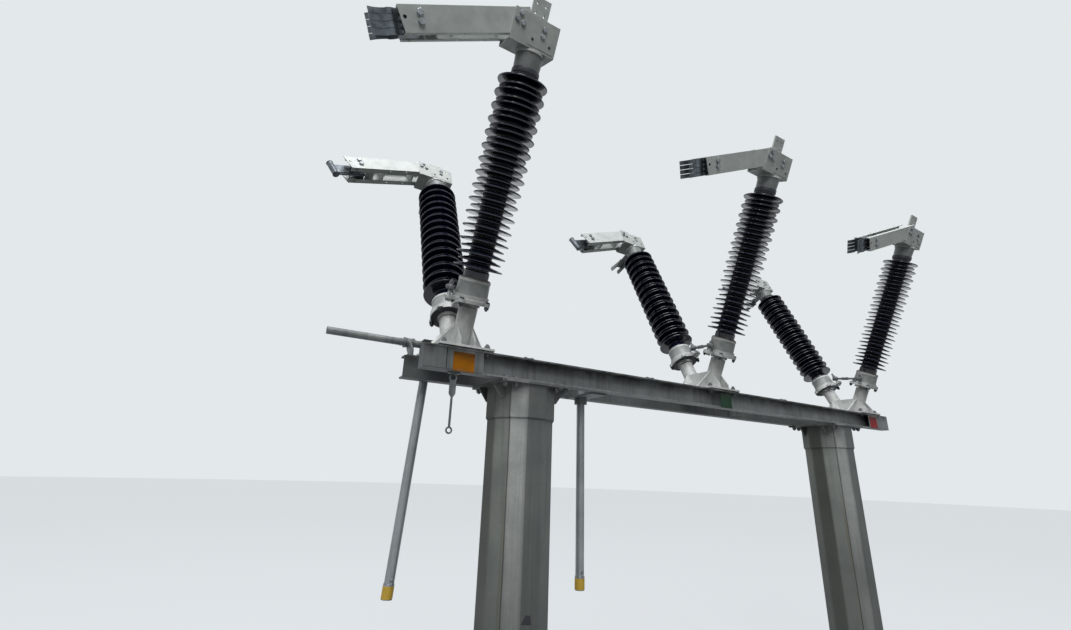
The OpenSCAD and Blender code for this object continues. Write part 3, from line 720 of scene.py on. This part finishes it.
# %% Turntable bolts
EAR_R = 104
CAP_FOOT_R = 99
SUNK_BOLT = 1
SUNK_HEAD = [(0, -0.5), (11, -0.5), (11, 0.6), (10.2, 1.0), (0, 1.0)]
for pole, side, body, tag in each_post():
    work = bmesh.new()
    for k in range(4):
        angle = math.radians(45 + 90 * k)
        spot = (EAR_R * math.cos(angle), EAR_R * math.sin(angle))
        bolt(work, aim((*spot, FLANGE_TOP - FLANGE_T), (0, 0, -1)), 22, None, 9)
        top = aim((*spot, FLANGE_TOP), (0, 0, 1))
        if k == SUNK_BOLT:
            turned(work, SUNK_HEAD, 24, top)
        else:
            bolt(work, top, 22, 5)
    finish_piece(f"turntable_bolts_{tag}", work, post_frame(pole, side), dark_bolt, body)
    work = bmesh.new()
    bead(work, circle(COLLAR_R, FLANGE_TOP - FLANGE_T - 1, 100), 3)
    bead(work, circle(CAP_FOOT_R, FLANGE_TOP + 1, 100), 3)
    finish_piece(f"turntable_welds_{tag}", work, post_frame(pole, side), base_enamel, body)
print("turntables bolted")

# %% [markdown]
# **Heads.** The cheeks of a head are folded sheet, bolted to the arm's channels by five bolts. A
# painted plate with two dark screws closes the lower part of each cheek, and the terminal pad has a
# weld along its foot.

# %% Head bolts, plates and welds
HEAD_BOLTS = ((-118, 1885), (-133, 1850), (-98, 1842), (20, 1863), (20, 1826))
PLATE_SCREWS = ((-33, 1793), (68, 1792))
PLATE_CORNERS = ((-55, 1760), (92, 1760), (92, 1818), (-55, 1818))
PAD_FOOT = HEAD_LOW + HEAD_H - 12 + 7.5
UPPER_CAP_R = 80
for pole, side, body, tag in each_post():
    place = post_frame(pole, side)
    bolts = bmesh.new()
    plates = bmesh.new()
    screws = bmesh.new()
    for face in (-1, 1):
        for x, s in HEAD_BOLTS:
            bolt(bolts, aim((x, face * CHEEK_OUT, s), (0, face, 0)), 22, 8)
        wall = aim((0, face * CHEEK_OUT, 0), (0, face, 0))
        corners = [wall.inverted() @ Vector((x, face * CHEEK_OUT, s)) for x, s in PLATE_CORNERS]
        outline = [(c.x, c.y) for c in corners]
        area = sum(outline[k - 1][0] * outline[k][1] - outline[k][0] * outline[k - 1][1] for k in range(4))
        prism(plates, outline if area > 0 else outline[::-1], -0.5, 2, wall)
        for x, s in PLATE_SCREWS:
            bolt(screws, aim((x, face * (CHEEK_OUT + 1), s), (0, face, 0)), 11, 2)
    finish_piece(f"head_bolts_{tag}", bolts, place, bolt_zinc, body)
    finish_piece(f"head_plates_{tag}", plates, place, head_enamel, body, 0.6)
    finish_piece(f"head_screws_{tag}", screws, place, dark_bolt, body)
    work = bmesh.new()
    for face in (-1, 1):
        bead(work, straight((-48, face * 8, PAD_FOOT), (48, face * 8, PAD_FOOT), 4), 3)
        arm_end = (-HEAD_ARM_SIDE + 4, face * 64, HEAD_LOW + 7)
        back_end = (HEAD_BACK_SIDE - 4, face * 64, HEAD_LOW + 7)
        bead(work, straight(arm_end, back_end, 4), 3)
    ring = circle(UPPER_CAP_R, HEAD_LOW - 1, 110)
    bead(work, [p for p in ring if abs(p[1]) < 0.84 * UPPER_CAP_R], 3)
    finish_piece(f"head_welds_{tag}", work, place, head_enamel, body)
print("heads bolted")

# %% [markdown]
# **Arms.** Near the contact end two broad, flat bolts hold the contact block between the channels,
# and slanted springs inside press the fingers home.

# %% Arm bolts and springs
CONTACT_BOLTS = ((635, 27), (635, -13))
SPRING_ENDS = ((600, 36), (704, -28))
for pole, side, body, tag in each_post():
    place = arm_frame(pole, side)
    work = bmesh.new()
    for face in (-1, 1):
        for r, h in CONTACT_BOLTS:
            bolt(work, aim((r, face * ARM_W / 2, h), (0, face, 0)), 28, 9)
    finish_piece(f"contact_bolts_{tag}", work, place, bolt_zinc, body)
    work = bmesh.new()
    for face in (-1, 1):
        start, end = [(r, face * 43, h) for r, h in SPRING_ENDS]
        coil(work, start, end, 9, 3.2, 16)
        for r, h in SPRING_ENDS:
            bar(work, [(r, face * 34, h), (r, face * 60.5, h)], 4, 10)
    finish_piece(f"arm_springs_{tag}", work, place, spring_steel, body)
print("arms bolted")

# %% [markdown]
# **Jaws and plugs.** Every finger is riveted to the block behind it. The plug has a blade with a
# bar at its end, capped above and below, and a dark rod under the blade guides it into the jaw.

# %% Contacts
FINGER_STEP = 29
RIVET = [(0, 0), (6, 0), (6, 2), (4, 3.6), (0, 4)]
GUIDE_STUD = [(0, -52), (9, -52), (9, -44), (6, -44), (6, -30), (0, -30)]
BAR_CAP = [(0, 0), (23, 0), (23, 3), (20, 6.5), (0, 7)]
for pole in POLES:
    place = arm_frame(pole, "front")
    body = f"front_post_{pole + 1}"
    work = bmesh.new()
    for face in (-1, 1):
        for k in range(4):
            spot = (718, face * 24.6, (k - 1.5) * FINGER_STEP)
            turned(work, RIVET, 16, aim(spot, (0, face, 0)))
    finish_piece(f"jaw_rivets_{pole + 1}", work, place, bolt_zinc, body)
    place = arm_frame(pole, "rear")
    body = f"rear_post_{pole + 1}"
    work = bmesh.new()
    bar(work, [(612, 0, -52), (CONTACT_R - 24, 0, -52)], 7, 16)
    turned(work, GUIDE_STUD, 16, Matrix.Translation((700, 0, 0)))
    for up in (-1, 1):
        turned(work, BAR_CAP, 32, aim((CONTACT_R, 0, up * 57), (0, 0, up)))
    finish_piece(f"plug_guide_{pole + 1}", work, place, dark_bolt, body)
print("contacts dressed")

# %% [markdown]
# **Bases.** The base is welded up from tube and plate, so a bead follows every joint: rings where
# the leaning tubes meet the plate and straight beads along webs and gussets. Four bolts hold the
# plate to the beams over dark packers.

# %% Base welds, bolts and packers
BASE_L = 310
BASE_W = 400
BOLT_INSET = 32
BASE_X = BASE_L / 2 - BOLT_INSET
BASE_Y = BASE_W / 2 - BOLT_INSET
PACKER_HALF = 28.6
BEAD = 3.2


def on_plate(y):
    """Height in a post's frame, along its axis, at which that y lies on the base plate."""
    return (PLATE_TOP - CROSS_Z - y * math.sin(TILT)) / math.cos(TILT)


for pole in POLES:
    for side in SIDES:
        work = bmesh.new()
        ring = circle(TUBE_D / 2 + 2, 0, 84)
        bead(work, [(x, y, on_plate(y) + 1.5) for x, y, _ in ring], BEAD + 0.6)
        for edge in (-7, 7):
            for start, end in ((-148, -54), (54, 148)):
                bead(work, [(x, edge, on_plate(edge) + 1) for x in range(start, end, 4)], BEAD)
            for start in (-TUBE_D / 2 + 1, TUBE_D / 2 - 1):
                low = on_plate(edge) + 2
                bead(work, straight((start, edge, low), (start, edge, 273), 4), BEAD)
        place = post_frame(pole, side)
        finish_piece(f"base_welds_{side}_{pole + 1}", work, place, base_enamel, "structure")
    place = Matrix.Translation((pole_x(pole) * MM, 0, 0))
    work = bmesh.new()
    for web in (-42, 42):
        for edge in (-6.5, 6.5):
            x = web + edge
            bead(work, straight((x, -188, PLATE_TOP + 1), (x, 188, PLATE_TOP + 1), 4), BEAD)
    finish_piece(f"web_welds_{pole + 1}", work, place, base_enamel, "structure")
    bolts = bmesh.new()
    packers = bmesh.new()
    for x in (-BASE_X, BASE_X):
        for y in (-BASE_Y, BASE_Y):
            bolt(bolts, aim((x, y, PLATE_TOP), (0, 0, 1)), 27, None, 10)
            bolt(bolts, aim((x, y, BEAM_TOP - 9), (0, 0, -1)), 27, 10)
            square = block(x - PACKER_HALF, x + PACKER_HALF, y - PACKER_HALF, y + PACKER_HALF)
            prism(packers, square, BEAM_TOP + 0.2, BEAM_TOP + 9.8)
    finish_piece(f"base_bolts_{pole + 1}", bolts, place, fitting_zinc, "structure")
    finish_piece(f"packers_{pole + 1}", packers, place, dark_ring, "structure")
print("bases dressed")

# %% [markdown]
# **Cross links.** Each ball sits in a forged ring that runs out into the rod. A turnbuckle with a
# lock nut at each end joins the two halves; the sleeve covers the split in the model's rod.

# %% Link fittings
LINK_SPLIT = 12
CRANKS = {"front": FRONT_CRANK, "rear": REAR_CRANK}
EYE_RING = [(19.4, -9), (25, -9), (27, -7), (27, 7), (25, 9), (19.4, 9), (19.4, -9)]
EYE_NECK = [(0, 21), (15, 22), (13, 34), (11, 38), (0, 39)]


def plain_rod(radius, low, high):
    """Profile of a plain rod for turned."""
    return [(0, low), (radius, low), (radius, high), (0, high)]


def pin_place(crank):
    return Vector((CRANK_R * math.cos(crank), CRANK_R * math.sin(crank), BALL_S))


for pole in POLES:
    ends = {side: post_frame(pole, side) @ (pin_place(CRANKS[side]) * MM) for side in SIDES}
    for side, other, body in (("rear", "front", "link"), ("front", "rear", "link_end")):
        run = (ends[other] - ends[side]) / MM
        half = (run.length - LINK_SPLIT) / 2
        away = aim((0, 0, 0), run)
        work = bmesh.new()
        post_up = post_frame(pole, side).to_3x3() @ Vector((0, 0, 1))
        turned(work, EYE_RING, 32, aim((0, 0, 0), post_up))
        turned(work, EYE_NECK, 24, away)
        if side == "rear":
            turned(work, plain_rod(15, half - 53, half - 45), 6, away)
            turned(work, plain_rod(13, half - 1, half + LINK_SPLIT - 2.5), 32, away)
        else:
            turned(work, plain_rod(15, half - 10, half - 1), 6, away)
        name = f"{body}_fittings_{pole + 1}"
        place = Matrix.Translation(ends[side])
        finish_piece(name, work, place, fitting_zinc, f"{body}_{pole + 1}", 0.6)
print("links dressed")

# %% [markdown]
# **Beams.** Each pole carries a painted phase plate on the front beam: yellow, green and red. The
# covers at the beam's end are held by a weld along each flange.

# %% Phase plates and beam welds
PLATE_X = (-78, 38)
PLATE_Z = (BEAM_TOP - 124, BEAM_TOP - 24)
PLATE_STUD = [(0, 1.5), (4, 1.5), (4, 3), (2.5, 4), (0, 4.2)]
STUD_INSET = 9


def wall_frame(y):
    """Frame of an upright wall that faces the front: X along it, Y up and Z out of it."""
    return Matrix(((1, 0, 0, 0), (0, 0, -1, y), (0, 1, 0, 0), (0, 0, 0, 1)))


for pole, made in zip(POLES, (phase_yellow, phase_green, phase_red)):
    work = bmesh.new()
    wall = wall_frame(-BEAM_OUT)
    prism(work, block(PLATE_X[0], PLATE_X[1], *PLATE_Z), -0.5, 2, wall)
    for x in PLATE_X:
        inner = x + (STUD_INSET if x < 0 else -STUD_INSET)
        for z in PLATE_Z:
            high = z + (STUD_INSET if z == PLATE_Z[0] else -STUD_INSET)
            turned(work, PLATE_STUD, 14, wall @ Matrix.Translation((inner, high, 0)))
    place = Matrix.Translation((pole_x(pole) * MM, 0, 0))
    finish_piece(f"phase_plate_{pole + 1}", work, place, made, "structure", 0.4)

BEAM_X0 = pole_x(0) - 235
BEAM_X1 = pole_x(2) + 235
COVER_L = 325
work = bmesh.new()
for x0, x1 in ((BEAM_X0, BEAM_X0 + COVER_L), (BEAM_X1 - COVER_L, BEAM_X1)):
    for z in (BEAM_LOW + 9.5, BEAM_TOP - 9.5):
        bead(work, straight((x0 + 2, -BEAM_OUT - 0.2, z), (x1 - 2, -BEAM_OUT - 0.2, z), 5), 2.2, 0.3)
finish_piece("cover_welds", work, HERE, beam_zinc, "structure")
print("phase plates at", [round(pole_x(p) + PLATE_X[0]) for p in POLES])

# %% [markdown]
# **Pillars.** Each pillar is folded from plate and seam-welded up two corners. The sleeve at the
# head is welded on all round its lower edge and the head plate is bolted through the beams'
# lower flanges. A small black mark is painted low on the front face.

# %% Pillar seams, bolts and mark
HEAD_PLATE_T = 12
TUBE_TOP_Z = BEAM_LOW - HEAD_PLATE_T
SLEEVE_LOW = TUBE_TOP_Z - 180
SLEEVE_R = PILLAR_R + 9
SEAM_R = PILLAR_R - 0.8
APOTHEM = PILLAR_R * math.cos(math.radians(15))
ANCHOR_R = 255


def polygon_ring(radius, z, step):
    """Points round a twelve-sided ring whose corners lie at 15, 45, 75 ... degrees."""
    angles = [math.radians(15 + 30 * k) for k in range(13)]
    corners = [(radius * math.cos(a), radius * math.sin(a), z) for a in angles]
    sides = [straight(a, b, step)[:-1] for a, b in zip(corners, corners[1:])]
    return sum(sides, []) + [Vector(corners[-1])]


for number, centre in enumerate((0, PILLAR_GAP)):
    tag = ("left", "right")[number]
    place = Matrix.Translation((centre * MM, 0, 0))
    work = bmesh.new()
    bead(work, polygon_ring(PILLAR_R + 3, SLEEVE_LOW - 1, 6), 4.5, 0.25)
    bead(work, polygon_ring(SLEEVE_R + 1, TUBE_TOP_Z - 1.5, 6), 3.5, 0.25)
    for corner in (45, 225):
        spot = (SEAM_R * math.cos(math.radians(corner)), SEAM_R * math.sin(math.radians(corner)))
        bead(work, straight((*spot, 150), (*spot, SLEEVE_LOW), 7), 2.6)
    bead(work, polygon_ring(PILLAR_R + 2, 26, 6), 4.5, 0.25)
    finish_piece(f"pillar_welds_{tag}", work, place, pillar_zinc, "structure")
    work = bmesh.new()
    for x in (-195, -130, 130, 195):
        for y in (-176, 176):
            bolt(work, aim((x, y, TUBE_TOP_Z), (0, 0, -1)), 27, None, 8)
            bolt(work, aim((x, y, BEAM_LOW + 9), (0, 0, 1)), 27, 10)
    for k in range(8):
        angle = math.radians(22.5 + 45 * k)
        spot = (ANCHOR_R * math.cos(angle), ANCHOR_R * math.sin(angle), 24)
        bolt(work, aim(spot, (0, 0, 1)), 36, None, 34)
    finish_piece(f"pillar_bolts_{tag}", work, place, fitting_zinc, "structure")

work = bmesh.new()
prism(work, [(-48, 952), (10, 946), (4, 986), (-24, 990)], -0.3, 0.5, wall_frame(-APOTHEM))
finish_piece("pillar_mark", work, HERE, black_mark, "structure")
print("pillars dressed")

# %% [markdown]
# **Earthing gear.** The shaft carries collars beside its brackets and a weld where it was joined.
# The drive tubes have a pinned coupling at the lower end, marked with yellow tape.

# %% Shaft collars, couplings and tape
DRIVE_R = 21
DRIVE_TUBE_R = 25
SHAFT_BRACKETS = (-625, 185, 1265, 2185, 2945, 3765)
SHAFT_JOINTS = (-672, 690, 2460)
SHAFT_COLLAR = [(20.5, 0), (30, 0), (31, 1), (31, 11), (30, 12), (20.5, 12), (20.5, 0)]
work = bmesh.new()
for x in SHAFT_BRACKETS:
    for edge in (-31, 19):
        at = aim((x + edge, EARTH_Y, EARTH_Z), (1, 0, 0))
        turned(work, SHAFT_COLLAR, 32, at)
        bolt(work, at @ Matrix.Translation((30, 0, 6)) @ Matrix.Rotation(math.pi / 2, 4, "Y"), 9, 5)
finish_piece("shaft_collars", work, HERE, fitting_zinc, "earthing_shaft")
work = bmesh.new()
for x in SHAFT_JOINTS:
    ring = [(x, EARTH_Y + aside, EARTH_Z + rise) for aside, rise, _ in circle(DRIVE_R + 0.8, 0, 40)]
    bead(work, ring, 2.4, 0.25)
finish_piece("shaft_welds", work, HERE, fitting_zinc, "earthing_shaft")

DRIVE_LOW = 1015
GEAR_BOX_X = pole_x(0) - 65
TAPE = [(27.5, 4), (28.7, 4), (28.7, 62), (27.5, 62), (27.5, 4)]
LEAN = math.radians(3.6)
EARTH_DRIVE_TOP = EARTH_Z - DRIVE_R - 12
lean_length = (EARTH_DRIVE_TOP - DRIVE_LOW) / math.cos(LEAN)
main_foot = Matrix.Translation((PILLAR_GAP / 2 - 0.55 * POLE_PITCH, 54, DRIVE_LOW))
lean_top = Matrix.Translation((GEAR_BOX_X, EARTH_Y, EARTH_DRIVE_TOP))
lean_foot = lean_top @ Matrix.Rotation(LEAN, 4, "Y") @ Matrix.Translation((0, 0, -lean_length))
for tag, at, body in (("main", main_foot, "main_drive"), ("earthing", lean_foot, "earthing_drive")):
    work = bmesh.new()
    turned(work, TAPE, 40, at)
    finish_piece(f"{tag}_drive_tape", work, HERE, yellow_tape, body)
    work = bmesh.new()
    for z in (78, 96):
        for face in (-1, 1):
            bolt(work, at @ aim((0, face * (DRIVE_TUBE_R - 0.6), z), (0, face, 0)), 13, 8)
    bead(work, circle(DRIVE_TUBE_R + 1.2, 71, 40), 2.2, 0.25, at)
    finish_piece(f"{tag}_drive_pins", work, HERE, bolt_zinc, body)
work = bmesh.new()
for x in (-37, 37):
    for z, front in ((BEAM_TOP + 32, BEAM_OUT), (BEAM_TOP + 114, BEAM_OUT + 6)):
        bolt(work, aim((GEAR_BOX_X + x, front, z), (0, -1, 0)), 13, 8)
        bolt(work, aim((GEAR_BOX_X + x, EARTH_Y + DRIVE_R + 10, z), (0, 1, 0)), 13, 8)
for x in (-60, 60):
    for z in (BEAM_LOW + 20, BEAM_TOP - 20):
        bolt(work, aim((GEAR_BOX_X + x, 218, z), (0, 1, 0)), 16, 10)
finish_piece("gear_box_bolts", work, HERE, dark_bolt, "structure")
print("earthing gear dressed")

# %% [markdown]
# ## Stage
# A pale studio: the eye sees a plain light sweep, while the steel is lit by a soft overcast sky,
# brighter above than at the horizon, and by four soft boxes: one overhead, two behind the camera's
# left shoulder and a weak one far to the left. The floor looks pale but bounces little light up, so
# that undersides stay dark as they do over grass.

# %% Floor, sky and lamps
BACKDROP = "#e3e8eb"
FLOOR_R = 60
SKY_STRENGTH = 1.15
SKY = ((0.0, 0.03), (0.48, 0.04), (0.52, 0.13), (0.70, 0.20), (0.85, 0.45), (1.0, 0.6))
floor_mesh = bpy.data.meshes.new("floor")
work = bmesh.new()
bmesh.ops.create_circle(work, cap_ends=True, segments=96, radius=FLOOR_R)
work.to_mesh(floor_mesh)
work.free()
floor = bpy.data.objects.new("floor", floor_mesh)
bpy.context.scene.collection.objects.link(floor)


def seen_rays(tree):
    """1 for rays that the eye follows: straight, mirrored or through glass."""
    rays = add(tree, "ShaderNodeLightPath").outputs
    some = math_node(tree, "MAXIMUM", rays["Is Camera Ray"], rays["Is Glossy Ray"])
    return math_node(tree, "MAXIMUM", some, rays["Is Transmission Ray"])


ground, tree, shader = finish("studio_floor", 0.0, 0.9)
seen = seen_rays(tree)
join_colour(tree, shader, mix(tree, seen, "#3a3d37", "#77797d"))
shader.inputs["Emission Color"].default_value = linear(BACKDROP)
tree.links.new(times(tree, seen, 0.70), shader.inputs["Emission Strength"])
floor_mesh.materials.append(ground)

world = bpy.data.worlds.new("studio_sky")
bpy.context.scene.world = world
world.use_nodes = True
tree = world.node_tree
tree.nodes.clear()
up = add(tree, "ShaderNodeSeparateXYZ", {0: add(tree, "ShaderNodeTexCoord").outputs["Generated"]}).outputs[2]
sky = ramp(tree, between(tree, up, -1.0, 1.0), SKY)
sky_light = add(tree, "ShaderNodeBackground", {0: sky, 1: SKY_STRENGTH})
seen_light = add(tree, "ShaderNodeBackground", {0: linear(BACKDROP), 1: 1.0})
both = add(tree, "ShaderNodeMixShader", {
    0: seen_rays(tree), 1: sky_light.outputs[0], 2: seen_light.outputs[0]})
add(tree, "ShaderNodeOutputWorld", {0: both.outputs[0]})

LAMPS = (
    ("overhead_softbox", (-1.5, -3.0, 15.0), (0.3, 0.0, 2.3), 7.0, 940),
    ("key_softbox", (-3.6, -6.4, 12.5), (0.3, 0.0, 2.3), 5.0, 250),
    ("camera_side_window", (-4.5, -8.8, 9.5), (0.3, 0.0, 2.3), 5.0, 440),
    ("left_strip", (-11.0, -4.0, 8.0), (0.3, 0.0, 2.6), 5.0, 140))
for name, spot, target, size, watts in LAMPS:
    lamp = bpy.data.lights.new(name, "AREA")
    lamp.size = size
    lamp.energy = watts
    holder = bpy.data.objects.new(name, lamp)
    bpy.context.scene.collection.objects.link(holder)
    holder.location = spot
    holder.rotation_euler = (Vector(target) - Vector(spot)).to_track_quat("-Z", "Y").to_euler()
scene = bpy.context.scene
scene.view_settings.view_transform = "Standard"
print("stage set with", len(LAMPS), "lamps")

# %% Finish the scene
print("scene built")
